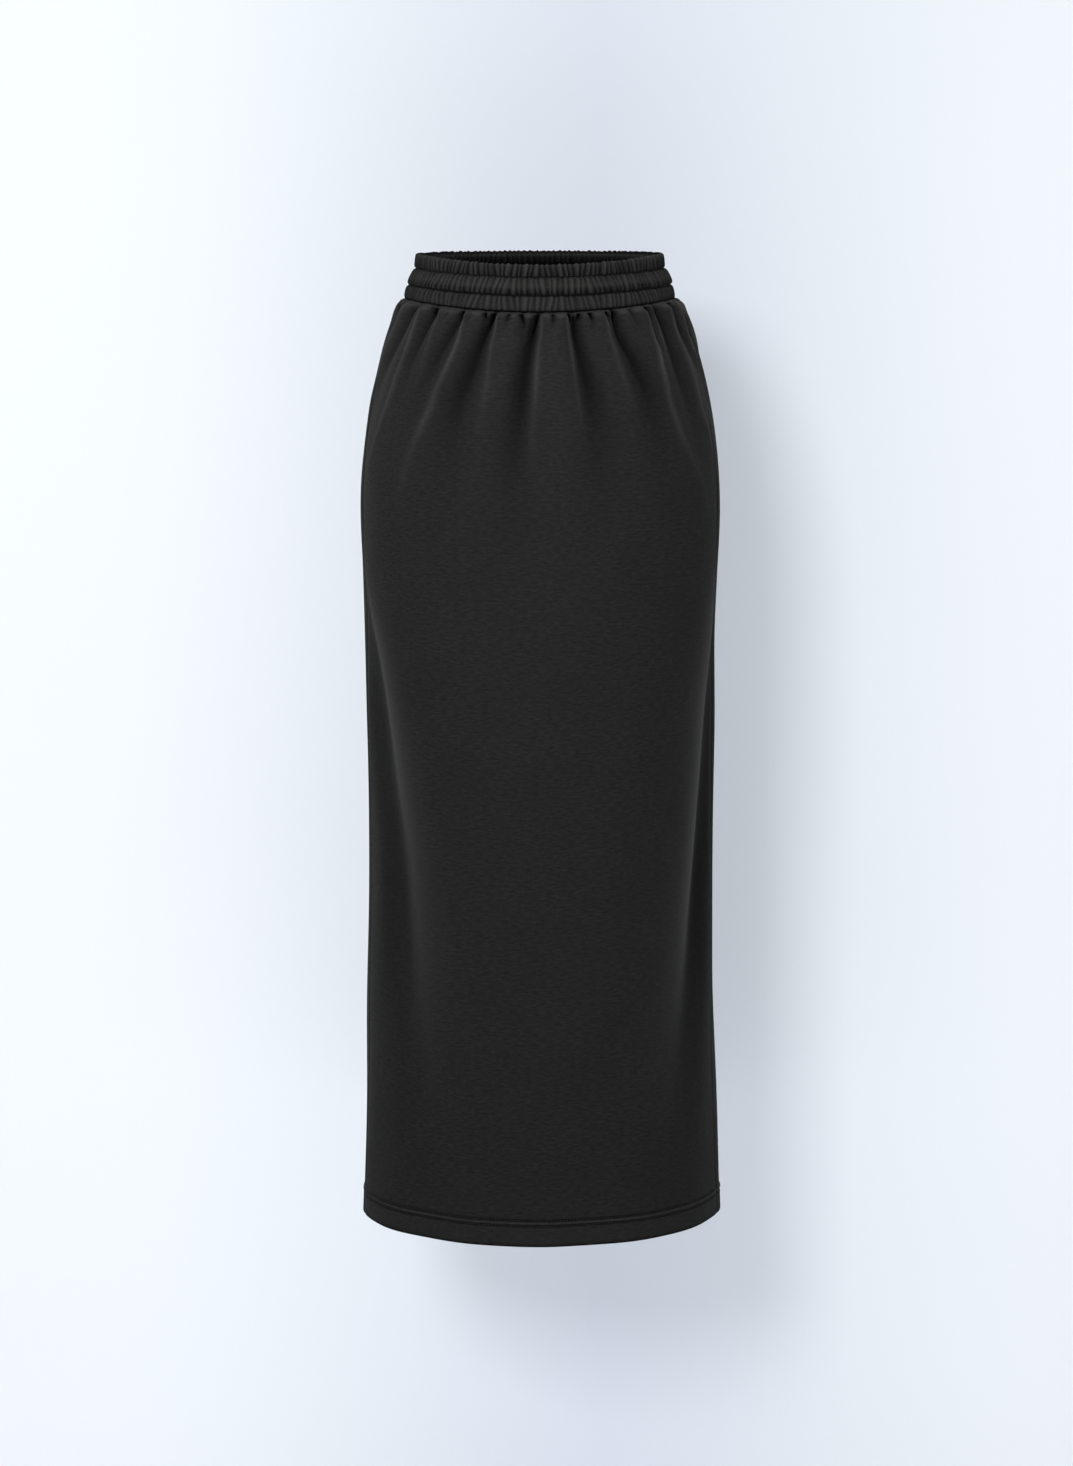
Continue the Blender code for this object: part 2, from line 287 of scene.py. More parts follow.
hemSettings = {
    "wall": 0.0032,  # the turned hem lies double
    "turn": 0.0260,
    "proud": 0.0006,
    "stitchLines": (0.0203, 0.0253),  # above the hem's edge
    "stitchSunk": 0.0007,
    "stitchWidth": 0.0009,
    "stitchPull": (0.22, 330, 40),  # share, waves round, phase from row to row
    "between": (0.0004, 0.0014, 0.17, 0.0010),  # height and width, painted highlight and its width
    "puckers": (0.00022, 0.006, 150, 2, 23),  # height, width, waves round, how far they wander and how often
    # painted highlight over the hem's face below the stitches
    "faceShine": 0.03,
    # painted shade along the hem's bottom edge
    "edgeDark": (0.95, 0.0024),
}

# The front's gathers as soft troughs: depth, width at the seam, spread for each metre down,
# length, how deep a notch it opens with and how much painted shade it holds, and its line as (drop, degrees).
frontGathers = (
    gather(0.005, 0.004, 0.01, 0.085, 0.6, ((0.042, -75.4), (0.053, -76.8), (0.065, -79), (0.08, -82))),
    gather(0.0042, 0.004, 0.085, 0.15, 0.35, (
        (0.042, -58.7), (0.05, -60.6), (0.062, -62.4), (0.077, -64.9), (0.093, -68.1), (0.11, -71.1),
        (0.16, -76))),
    gather(0.0052, 0.004, 0.08, 0.12, 0.8, (
        (0.042, -47), (0.049, -46.6), (0.058, -48), (0.071, -50), (0.083, -51.6), (0.11, -54),
        (0.15, -58))),
    gather(0.0022, 0.0024, 0.03, 0.022, 0.2, ((0.04, -38.8), (0.07, -42))),
    gather(0.0054, 0.0038, 0.085, 0.15, 0.75, (
        (0.042, -32.5), (0.051, -33), (0.063, -35.3), (0.075, -37.6), (0.087, -39.7), (0.106, -42.7),
        (0.16, -48.5))),
    gather(0.0022, 0.0026, 0.03, 0.024, 0.15, ((0.04, -28), (0.064, -30.5))),
    gather(0.0036, 0.0026, 0.03, 0.034, 0.85, (
        (0.041, -22.7), (0.046, -21.8), (0.052, -21.2), (0.07, -22.5))),
    gather(0.0078, 0.0042, 0.095, 0.24, 0.95, (
        (0.041, -18.4), (0.052, -19.5), (0.063, -21.2), (0.075, -22.9), (0.09, -24.4), (0.107, -26.7),
        (0.121, -28.3), (0.16, -30.6), (0.2, -32.6), (0.26, -36))),
    gather(0.003, 0.0026, 0.04, 0.03, 0.7, ((0.041, -12.1), (0.052, -13.1), (0.07, -15))),
    gather(0.0042, 0.0028, 0.05, 0.06, 0.95, (
        (0.043, -7.2), (0.048, -6.3), (0.055, -6.1), (0.069, -6.2), (0.1, -8))),
    gather(0.0082, 0.004, 0.08, 0.29, 1, (
        (0.04, -0.4), (0.05, -1.5), (0.064, -3), (0.075, -3.9), (0.091, -4.9), (0.11, -5.7), (0.155, -7),
        (0.23, -9.2), (0.29, -10.4))),
    gather(0.003, 0.0024, 0.03, 0.024, 0.75, ((0.041, 5.2), (0.07, 4.8))),
    gather(0.0052, 0.0024, 0.03, 0.06, 0.9, (
        (0.041, 11.5), (0.048, 11.9), (0.06, 12.6), (0.069, 13.4), (0.09, 15))),
    gather(0.005, 0.0024, 0.04, 0.04, 0.95, ((0.041, 15.9), (0.048, 14.9), (0.058, 13.9), (0.072, 13.8))),
    gather(0.0084, 0.0036, 0.09, 0.24, 0, (
        (0.05, 13.4), (0.069, 13.6), (0.075, 14.1), (0.087, 15.2), (0.101, 16.2), (0.115, 17.3),
        (0.147, 18.8), (0.212, 19.9), (0.28, 20.4))),
    gather(0.0036, 0.0026, 0.04, 0.032, 0.9, (
        (0.04, 20.7), (0.044, 20.3), (0.048, 20.6), (0.056, 21), (0.075, 22.6))),
    gather(0.004, 0.0022, 0.03, 0.034, 0.85, ((0.041, 27.7), (0.047, 27.8), (0.054, 28.3), (0.075, 30.5))),
    gather(0.0074, 0.0036, 0.105, 0.22, 0.8, (
        (0.042, 30.8), (0.053, 30.4), (0.063, 30.8), (0.074, 32.4), (0.088, 35.1), (0.1, 36.8),
        (0.114, 38.9), (0.14, 40.8), (0.17, 42.8), (0.24, 46))),
    gather(0.0032, 0.003, 0.06, 0.04, 0.5, ((0.042, 38.7), (0.049, 39.2), (0.055, 40.2), (0.08, 43))),
    gather(0.0044, 0.0022, 0.03, 0.06, 0.85, (
        (0.042, 48.4), (0.049, 48.6), (0.059, 48.9), (0.069, 49), (0.095, 49.6))),
    gather(0.006, 0.0042, 0.07, 0.19, 0.55, (
        (0.043, 54.1), (0.053, 54.6), (0.064, 55.3), (0.077, 55.6), (0.091, 56.2), (0.109, 57.2),
        (0.135, 59.4), (0.188, 64.5))),
    gather(0.005, 0.003, 0.06, 0.11, 0.7, (
        (0.042, 67), (0.052, 66.4), (0.062, 67), (0.075, 68.4), (0.092, 71.2), (0.108, 74))),
)
# The thin ridges beside them, with painted highlight along them, and how far down a fall with painted shade
# lies along each.
frontRidges = (
    ridge(0.002, 0.0074, 0, 0.095, 0.002, (
        (0.04, -68.6), (0.053, -70.6), (0.062, -72), (0.072, -74.6), (0.089, -77.6))),
    ridge(0.0019, 0.002, 0.022, 0.165, 0.015, (
        (0.041, -55.4), (0.053, -55.2), (0.066, -56.1), (0.079, -56.7), (0.092, -57.7), (0.105, -59.1),
        (0.125, -61.1), (0.142, -63.2), (0.166, -67.5), (0.2, -74))),
    ridge(0.0013, 0.002, 0.03, 0.08, 0.02, (
        (0.04, -43.4), (0.054, -43.6), (0.066, -44.6), (0.088, -45.6), (0.12, -48))),
    ridge(0.0019, 0.002, 0.026, 0.19, 0.012, (
        (0.042, -31.4), (0.054, -31.3), (0.07, -31.8), (0.086, -33.6), (0.1, -35.5), (0.114, -37.6),
        (0.128, -38.8), (0.151, -42.4), (0.175, -46), (0.215, -51))),
    ridge(0.0016, 0.0018, 0.03, 0.11, 0.02, (
        (0.042, -17.2), (0.056, -17.3), (0.07, -18.1), (0.083, -18.3), (0.111, -18.5), (0.14, -20))),
    ridge(0.0018, 0.0018, 0.036, 0.15, 0.03, (
        (0.041, 0.8), (0.055, 0.4), (0.073, -0.7), (0.096, -1.4), (0.114, -1.7), (0.15, -3))),
    ridge(0.0017, 0.0017, 0.022, 0.12, 0.045, (
        (0.041, 10.6), (0.053, 10.9), (0.069, 11.5), (0.083, 12), (0.101, 12.6), (0.115, 13.1),
        (0.16, 14.5))),
    ridge(0.0016, 0.0018, 0.03, 0.1, 0.02, (
        (0.041, 26.6), (0.053, 27), (0.066, 27.4), (0.078, 28.3), (0.092, 29.4), (0.13, 33))),
    ridge(0.002, 0.0019, 0.02, 0.195, 0.055, (
        (0.042, 46.8), (0.054, 47.2), (0.068, 47.6), (0.08, 48.1), (0.094, 47.9), (0.112, 48.7),
        (0.126, 49), (0.139, 50.4), (0.158, 52.8), (0.177, 56.3), (0.206, 62.8), (0.23, 67))),
    ridge(0.0019, 0.0019, 0.018, 0.18, 0.06, (
        (0.042, 63.4), (0.057, 62.9), (0.069, 62.9), (0.084, 64.3), (0.098, 65.6), (0.116, 67.4),
        (0.139, 69), (0.158, 72.3), (0.19, 77.6))),
)

backGathers = {
    "count": 24,
    "unevenPlace": 0.26,  # as a share of their pitch
    "unevenDepth": (0.8, 1.15),
    "unevenLength": (0.75, 1.25),
    "swing": 0.13,  # share by which they swing away from the centre back
    "unevenSwing": (0.7, 1.3),
    "width": 0.0034,
    "notch": (0.3, 1.0),
    "longEvery": 4,
    "long": (0.0068, 0.230, 0.085),  # depth, length, spread
    "short": (0.0040, 0.060, 0.045),
    "ridgeFrom": 0.12,  # a gather longer than this has a ridge beside it
    "ridgeBeside": 2.6,  # degrees, on the side towards the centre back
    "ridgeSpread": 2.5,
    "besideSeam": ((0.041, 83.5), (0.060, 84.5), (0.080, 86.0), (0.110, 88.0)),  # drop, degrees
    "seed": 11,
}

# Long soft folds from the hips down: side, panel's centre, crest height, trough depth, its
# reach beyond the crest, how much painted highlight the crest gets and painted shade the trough gets,
# and the line that the crest follows as (drop, degrees, width).
longFolds = (
    longFold(-1, 0, 0.0038, 0.0054, 0.017, 0.6, 0.16, (
        (0.26, 83, 0.006), (0.3, 73.5, 0.005), (0.345, 65.6, 0.0044), (0.385, 60.6, 0.0038),
        (0.43, 55.6, 0.0044), (0.485, 51.4, 0.005), (0.54, 46.9, 0.0066), (0.613, 42.7, 0.009),
        (0.716, 38, 0.013), (0.83, 34.2, 0.018))),
    longFold(1, 0, 0.0038, 0.0064, 0.015, 0.88, 0.36, (
        (0.26, 82, 0.006), (0.315, 74.8, 0.005), (0.361, 69.2, 0.0046), (0.398, 66.2, 0.0044),
        (0.471, 63.2, 0.0042), (0.526, 60.4, 0.0042), (0.581, 57, 0.0048), (0.637, 53.4, 0.0062),
        (0.72, 47.2, 0.01), (0.83, 42, 0.016))),
    longFold(-1, pi, 0.004, 0.006, 0.018, 0.5, 0.25, (
        (0.25, 78, 0.003), (0.33, 63, 0.0034), (0.46, 52.4, 0.0052), (0.6, 44.6, 0.0085),
        (0.84, 36, 0.017))),
    longFold(1, pi, 0.0038, 0.0056, 0.018, 0.5, 0.25, (
        (0.27, 76, 0.003), (0.35, 59.6, 0.0036), (0.48, 47.8, 0.0058), (0.62, 40, 0.0095),
        (0.85, 32.6, 0.018))),
)
longFoldSettings = {
    "ends": (0.24, 0.36, 0.56, 0.86),  # drops where they start, are full, begin to fade and end
    "steepSide": (1.6, 0.0, 1.5),  # beyond the crest: share of the width, what is added, sharpness
    "softSide": (1.6, 0.022, 1.2),
    "glowSteep": (1.2, 0.0, 1.5),
    "glowSoft": (1.1, 0.0045, 1.1),
    "glowWidth": 0.0042,  # a wider crest gets less painted highlight
    "glowLoss": 1.3,
    "troughEnds": (radians(76), radians(30)),  # no trough where the crest lies this far round
}


def fromLine(place, line):  # how far a point is from a crease, positive away from its panel's middle
    angle = np.radians(readTable(line.path, 1, place.drops))
    middle = 0 if line.path[0][1] < degrees(skirtForm["sideSeam"]) else 180
    away = place.radius * ((place.angles - angle + pi) % (2 * pi) - pi)
    return away * np.sign(line.path[-1][1] - middle)


def backCreases():  # uneven in place, depth and length, as the front's are
    settings = backGathers
    draw = np.random.default_rng(settings["seed"])
    start, top = skirtForm["sideSeam"], skirtForm["waistSeam"]
    span = 2 * (pi - start)
    mirrored = tuple((drop, 360 - angle) for drop, angle in settings["besideSeam"])
    gathers = [gather(0.0054, 0.0095, 0.010, 0.120, 0.30, mirrored)]  # a deep one along the right side seam
    ridges = [ridge(0.0019, 0.0060, 0.000, 0.090, 0.002, settings["besideSeam"])]  # a ridge on the left
    for number in range(1, settings["count"] + 1):
        uneven = draw.uniform(-settings["unevenPlace"], settings["unevenPlace"])
        seam = start + span * (number + uneven) / (settings["count"] + 1)
        depth, length, spread = settings["long" if number % settings["longEvery"] == 2 else "short"]
        depth *= draw.uniform(*settings["unevenDepth"])
        length *= draw.uniform(*settings["unevenLength"])
        swing = (seam - pi) * settings["swing"] * draw.uniform(*settings["unevenSwing"])
        path = tuple((top + length * share, degrees(seam + swing * share * 1.6))
                     for share in (0, 0.3, 0.6, 1))
        notch = draw.uniform(*settings["notch"])
        gathers.append(gather(depth, settings["width"], spread, length, notch, path))
        if length > settings["ridgeFrom"]:
            beside = settings["ridgeBeside"] * (-1 if seam > pi else 1)
            ridgePath = tuple((drop, angle + beside * (1 + settings["ridgeSpread"] * (drop - top) / length))
                              for drop, angle in path)
            ridges.append(ridge(0.0017, 0.0019, 0.022, length * 0.8, 0.030, ridgePath))
    return tuple(gathers), tuple(ridges)


def addGathers(relief, place, gathers):
    settings, below = gatherSettings, place.below
    opening = ease(settings["seamShare"], 1.0, below / settings["opensOver"])
    sharpness = ease(*settings["sharpness"], below / settings["softensOver"])
    foreshortened = np.maximum(0.5, np.abs(np.cos(place.angles)))
    seamDark, seamDarkDrop = settings["seamDark"]
    lost, fadeStart, fadeOver = settings["darkFade"]
    notchWidth, notchTop, notchBottom = settings["notchWidth"]
    notchStart, notchStartsOver = settings["notchStart"]
    sides, notchSides = settings["sides"], settings["notchSides"]
    sunk = np.zeros_like(relief.lift)
    for line in gathers:
        away = fromLine(place, line)
        width = (line.width + line.spread * below) * np.where(away > 0, sides[1], sides[0])
        strength = opening * (1 - smooth(below / line.length)) * bell(away, width, sharpness)
        sunk += (line.depth * strength) ** 3
        # painted shade along the trough, stronger near the seam, fading down the gather
        dark = settings["dark"] * min(1.0, line.depth / settings["fullDepth"])
        dark = dark * (1 + seamDark * (1 - smooth(below / seamDarkDrop)))
        dark = dark * (1 - lost * smooth((below / line.length - fadeStart) / fadeOver))
        relief.shade(dark * strength)
        length = settings["notchLength"] + settings["notchStretch"] * line.length
        narrow = notchWidth * (notchTop - (notchTop - notchBottom) * np.clip(below / length, 0, 1))
        narrow = narrow * np.where(away > 0, notchSides[1], notchSides[0]) / foreshortened
        notch = line.notch * smooth((below - notchStart) / notchStartsOver) * (1 - smooth(below / length))
        notch = notch * bell(away, narrow, settings["notchSharpness"])
        sunk += (settings["notchDepth"] * notch) ** 3
        # painted shade, near black, in the notch
        relief.shade(np.minimum(1, settings["notchDark"] * notch))
    relief.lift -= np.cbrt(sunk)


def addRidges(relief, place, ridges):
    settings, below = ridgeSettings, place.below
    shineLost, shineLostFrom = settings["shineLost"]
    flicker, waves, phase = settings["flicker"]
    for number, line in enumerate(ridges):
        away = fromLine(place, line)
        width = line.width * settings["narrow"] + line.spread * below
        strength = smooth(below / settings["startsOver"]) * bell(away, width, settings["sharpness"])
        strength = strength * (1 - smooth(below / line.length - settings["fadesFrom"]))
        fall = smooth(below / settings["fallStartsOver"]) * (1 - smooth(below / line.shade))
        fall = fall * bell(away - settings["fallAway"] * width, settings["fallWidth"] * width)
        relief.lift += line.height * (strength - fall)
        # painted shade in the fall beside the ridge
        relief.shade(settings["fallDark"] * fall)
        uneven = 1 - flicker + flicker * np.sin(waves * place.drops + phase * number)
        uneven = uneven * (1 - shineLost * smooth(below / line.length - shineLostFrom))
        # painted highlight along the ridge
        relief.shine(settings["shine"] * (line.height / settings["fullHeight"]) ** 2 * uneven * strength)


def addSeamEdge(relief, place):
    settings, below = seamEdgeSettings, place.below
    wave = 1 + ripples(place.angles, settings["tuckWaves"])
    puff = settings["puff"] * bell(below - settings["puffDrop"], settings["puffWidth"]) * (1 - relief.hollow)
    relief.lift += puff - settings["tuck"] * bell(below, settings["tuckDepth"] * wave, 1.6)
    share, waves, phase = settings["lipWaves"]
    lip = bell(below - settings["lipDrop"], settings["lipWidth"]) * (1 - relief.hollow)
    # painted highlight along the puffed edge below the seam
    relief.shine(settings["lipShine"] * lip * (1 - share + share * np.sin(waves * place.angles + phase)))


def lopsided(beyond, width, steep, soft):  # a bell, steep beyond its middle and soft before it
    far, near = (bell(beyond, width * share + more, sharpness) for share, more, sharpness in (steep, soft))
    return np.where(beyond > 0, far, near)


def addLongFolds(relief, place):
    settings = longFoldSettings
    start, full, fade, end = settings["ends"]
    strength = smooth((place.drops - start) / (full - start))
    strength = strength * (1 - smooth((place.drops - fade) / (end - fade)))
    troughEnd, troughFade = settings["troughEnds"]
    for fold in longFolds:
        onSide = fold.side * np.sin(place.angles) > 0
        fromCentre = np.abs((place.angles - fold.centre + pi) % (2 * pi) - pi)
        crestAngle = np.radians(readTable(fold.path, 1, place.drops))
        width = readTable(fold.path, 2, place.drops)
        depth = place.frontDepth if fold.centre == 0 else place.backDepth
        crestRadius = np.hypot(place.halfWidth * np.cos(crestAngle), depth * np.sin(crestAngle))
        beyond = crestRadius * (fromCentre - crestAngle)
        crest = lopsided(beyond, width, settings["steepSide"], settings["softSide"])
        trough = bell(beyond - fold.reach - width * 0.7, fold.reach)
        trough = trough * smooth((troughEnd - crestAngle) / troughFade)
        relief.lift += np.where(onSide, strength * (fold.crest * crest - fold.trough * trough), 0)
        paler = np.minimum(1, (settings["glowWidth"] / width) ** settings["glowLoss"])
        # painted highlight along the fold's crest
        glow = fold.shine * lopsided(beyond, width, settings["glowSteep"], settings["glowSoft"]) * paler
        relief.shine(np.where(onSide, strength * glow, 0))
        # painted shade on the plane beyond the crest
        plane = smooth((beyond - 0.5 * width) / (0.6 * fold.reach))
        plane = plane * (1 - smooth(beyond / fold.reach / 2 - 1.2))
        relief.shade(np.where(onSide, strength * fold.shade * plane, 0))


def addSwells(relief, place):  # the slow waves of hanging cloth
    for height, around, down, phase, wander, wanderWaves, start in panelSettings["swells"]:
        turn = around * place.angles + down * place.drops + phase + wander * np.sin(wanderWaves * place.drops)
        relief.lift += height * np.sin(turn) * smooth((place.below - start) / panelSettings["swellReach"])


def addHem(relief, place):
    settings, angles = hemSettings, place.angles
    up = skirtForm["drop"] - place.drops
    relief.lift += settings["proud"] * smooth((settings["turn"] + 0.0010 - up) / 0.0030)
    pull, pullWaves, pullPhase = settings["stitchPull"]
    for line in settings["stitchLines"]:
        pulled = 1 + pull * np.sin(pullWaves * angles + pullPhase * line)
        sewn = pulled * bell(up - line, settings["stitchWidth"])
        relief.lift -= settings["stitchSunk"] * sewn
        # painted shade in the sunk stitch line
        relief.shade(np.minimum(1, sewn))
    fromMiddle = up - sum(settings["stitchLines"]) / 2
    height, width, shine, shineWidth = settings["between"]
    relief.lift += height * bell(fromMiddle, width)
    # painted highlight on the cloth between the stitch lines
    relief.shine(shine * bell(fromMiddle, shineWidth))
    # painted highlight over the hem's face
    relief.shine(settings["faceShine"] * smooth((settings["stitchLines"][0] - 0.0010 - up) / 0.0020))
    # painted shade along the hem's bottom edge
    relief.shade(settings["edgeDark"][0] * bell(up, settings["edgeDark"][1]))
    height, width, waves, wander, wanderWaves = settings["puckers"]
    pucker = np.sin(waves * angles + wander * np.sin(wanderWaves * angles))
    relief.lift += height * pucker * bell(fromMiddle, width)


def panelRelief(angles, drops, creases, firstAngle, lastAngle):
    drops = drops[:, None]
    halfWidth, frontDepth, backDepth = (readTable(panelSections, number, drops) for number in (1, 2, 3))
    depth = np.where(np.cos(angles) > 0, frontDepth, backDepth)
    radius = np.hypot(halfWidth * np.cos(angles), depth * np.sin(angles))
    below = drops - skirtForm["waistSeam"]
    place = clothPlace(angles, drops, below, radius, halfWidth, frontDepth, backDepth)
    relief = clothRelief(radius.shape)
    gathers, ridges = creases  # of both panels, so that they run on over the side seams
    addGathers(relief, place, gathers)
    addRidges(relief, place, ridges)
    addSeamEdge(relief, place)
    addLongFolds(relief, place)
    addSwells(relief, place)
    addHem(relief, place)
    groove, width = panelSettings["sideGroove"]
    sewn = bell(np.minimum(radius * (angles - firstAngle), radius * (lastAngle - angles)), width, 1.5)
    relief.lift -= groove * sewn
    # painted shade in the side seam's groove
    relief.shade(panelSettings["sideDark"] * sewn)
    return halfWidth, depth, relief


def panelDip(drops):  # how much lower the cloth lies at the centre front
    start, end = skirtForm["hemDipDrops"]
    atSeam = 1 - smooth((drops - skirtForm["waistSeam"]) / skirtForm["seamDipReach"])
    return skirtForm["seamDip"] * atSeam + skirtForm["hemDip"] * smooth((drops - start) / (end - start))


def panelRows(drops, insets, along, edges, creases):
    rows, first = [], 0.0
    for last, columns in panelSettings["columns"]:
        last += 1e-9  # the last row of a zone belongs to it
        inZone = (drops > first) & (drops <= last)
        zoneDrops = drops[inZone]
        angles, across = evenAngles(*edges, panelSettings["evenAt"], columns)
        halfWidth, depth, relief = panelRelief(angles, zoneDrops, creases, *edges)
        offset, dip = relief.lift - insets[inZone][:, None], panelDip(zoneDrops)[:, None]
        points = placeRows(angles, zoneDrops[:, None], halfWidth, depth, offset, dip)
        rows.extend(clothRows(points, relief, across, -along[inZone]))
        first = last
    return rows


def panelWall(edges, creases):
    settings, end, hemWall = panelSettings, skirtForm["drop"], hemSettings["wall"]
    edge = hemWall / 2  # the hem's edge is half round
    turns = np.linspace(0, pi, 7)[1:-1]
    top = skirtForm["waistSeam"] + skirtForm["seamGap"] / 2
    down = stepsDown(top, end - edge, settings["rowSpacing"])
    up = stepsDown(top, end - edge, settings["insideSpacing"])
    outTurns, inTurns = turns[:3], turns[3:][::-1]
    outside = np.concatenate([down, end - edge + edge * np.sin(outTurns)])
    inside = np.concatenate([up, end - edge + edge * np.sin(inTurns)])
    outInsets = np.concatenate([np.zeros(len(down)), edge * (1 - np.cos(outTurns))])
    doubled = ease(settings["wall"], hemWall, (hemSettings["turn"] - (end - up)) / 0.0012)
    inInsets = np.concatenate([doubled, edge * (1 - np.cos(inTurns))])
    reach = 2 * end - inside + edge
    return (panelRows(outside, outInsets, outside, edges, creases),
            panelRows(inside, inInsets, reach, edges, creases)[::-1])


# The waistband, by its stitched lines and the puffed rows between them.
bandLine = namedtuple("bandLine", "drop halfWidth frontDepth backDepth dip dark")
# each line's dark is how much painted shade lies along it
bandLines = (
    bandLine(0.0000, 0.1122, 0.0862, 0.0902, 0.0072, 0.00),
    bandLine(0.0130, 0.1140, 0.0872, 0.0916, 0.0060, 0.70),
    bandLine(0.0278, 0.1203, 0.0893, 0.0941, 0.0068, 0.62),
    bandLine(0.0400, 0.1232, 0.0907, 0.0957, 0.0090, 1.00),
)
bandSettings = {
    "evenAt": (0.119, 0.090, 0.095),
    "puffs": (0.0013, 0.0036, 0.0022),  # how far each row stands out between its lines
    "sidePuffs": (1.0, 0.66, 0.72),  # as a share of that, at the sides
    "insidePuffs": (0.0006, 0.0010, 0.0008),
    "wall": 0.0038,
    "gathers": {"front": 60, "back": 76},
    "columnsEach": 12,
    "gatherDepth": (0.0017, 0.0013, 0.0010),
    "ribSharpness": 2.4,
    "tipWidth": 0.42,
    "sag": (1.0, 1.90, 1.6),  # above 1, a row is fullest below its middle
    "rimShare": 0.35,  # how full the top row still is at the rim
    "shade": (  # painted shade on each row, from its top line to its bottom line
        ((0.00, 0.00), (0.25, 0.13), (0.50, 0.30), (0.75, 0.43), (1.00, 0.36)),
        ((0.00, 0.20), (0.20, 0.14), (0.38, 0.02), (0.55, 0.00),
         (0.64, 0.22), (0.76, 0.42), (0.86, 0.25), (1.00, 0.08)),
        ((0.00, 0.26), (0.15, 0.18), (0.40, 0.14), (0.60, 0.06),
         (0.78, 0.08), (0.88, 0.26), (0.96, 0.24), (1.00, 0.10))),
    "between": ((0.50, 0.55, 0.60), (0.40, 0.12, 0.75), (0.42, 0.32, 0.15)),  # painted shade between its ribs
    "betweenAt": (0.15, 0.50, 0.80),  # where down each row
    # painted shade inside the band, deeper further down
    "insidePaintedShade": (0.62, 0.93),
    "insidePaintedShadeAt": (0.002, 0.012),
    "unevenPlace": 0.24,
    "unevenDepth": 0.42,
    "unevenPeak": 0.22,
    "calmSides": 0.26,  # radians from a side seam over which the gathers die out
    "rowsOutside": 60,
    "rowsInside": 26,
    "rowEdge": 0.0012,
    "lineWidth": 0.0011,
    "lineSunk": 0.0009,
    "seamWidth": 0.0010,
    "slants": (0.2, 0.7, 1.6),  # radians a metre, away from the centre
    "sway": 0.26,  # how far the ribs wander, as a share of their pitch
    "swayWaves": ((0.7, 11, 2.1), (0.3, 31, 1.0)),  # share, waves round, phase from row to row
    "rimBumps": (0.0010, 0.0040),
    "rimPaintedShade": (0.88, 0.0020),  # painted shade along the back's edge
    "rimPaintedHighlight": (0.0038, 0.0011),  # drop and width of a painted highlight line inside it
    "seeds": {"front": 5, "back": 105},
}


def drawRibs(draw, count, firstAngle, lastAngle):  # where a row's ribs lie, their heights and their peaks
    settings = bandSettings
    places = np.arange(count + 5) - 2 + draw.uniform(-1, 1, count + 5) * settings["unevenPlace"]
    heights = 1 + draw.uniform(-1, 1, count + 5) * settings["unevenDepth"]
    peaks = 0.5 + draw.uniform(-1, 1, count + 5) * settings["unevenPeak"]
    return firstAngle + (lastAngle - firstAngle) * places / count, heights, peaks


def ribProfile(angles, places, heights, peaks):  # round ribs between narrow sunk lines, and their bright tips
    left = np.clip(np.searchsorted(places, angles, side="right") - 1, 0, len(places) - 2)
    share = np.clip((angles - places[left]) / (places[left + 1] - places[left]), 0.0, 1.0)
    peak = peaks[left]
    fromPeak = np.where(share < peak, (peak - share) / peak, (share - peak) / (1 - peak))
    ribs = heights[left] * (1 - fromPeak ** bandSettings["ribSharpness"])
    return ribs, heights[left] * np.exp(-((fromPeak / bandSettings["tipWidth"]) ** 2))


